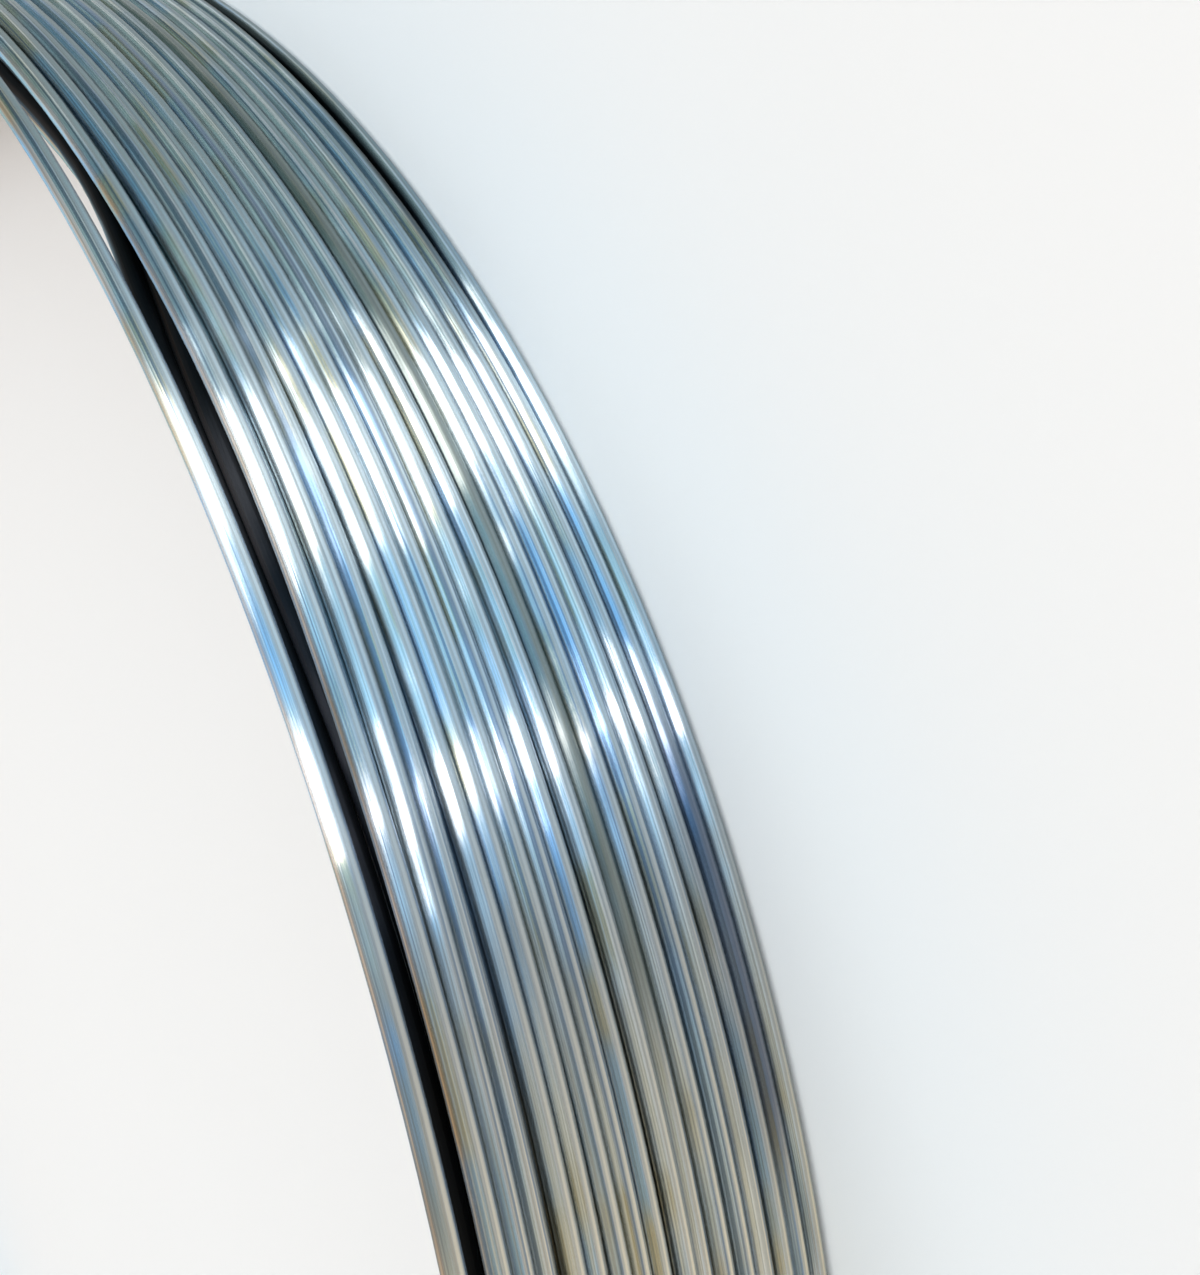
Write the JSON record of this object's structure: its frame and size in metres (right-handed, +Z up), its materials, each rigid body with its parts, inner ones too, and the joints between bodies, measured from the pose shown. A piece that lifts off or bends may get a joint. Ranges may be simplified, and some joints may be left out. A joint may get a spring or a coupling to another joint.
{
  "type": "coil of silver wire",
  "caption": "Coil of bright round silver wire wound in close layers on a round former, with an open bore and one loose last turn above its upper end.",
  "frame": {"origin": "on the coil's axis, at the level of the surface that it lies on", "axes": "+Z up the coil's axis, towards the loose turn; the coil is round about Z"},
  "size_m": [0.1346, 0.1346, 0.0153],
  "materials": {
    "silver_wire": "bright drawn wire"
  },
  "bodies": {
    "root": {"wire_coil": "silver_wire"}
  },
  "joints": []
}
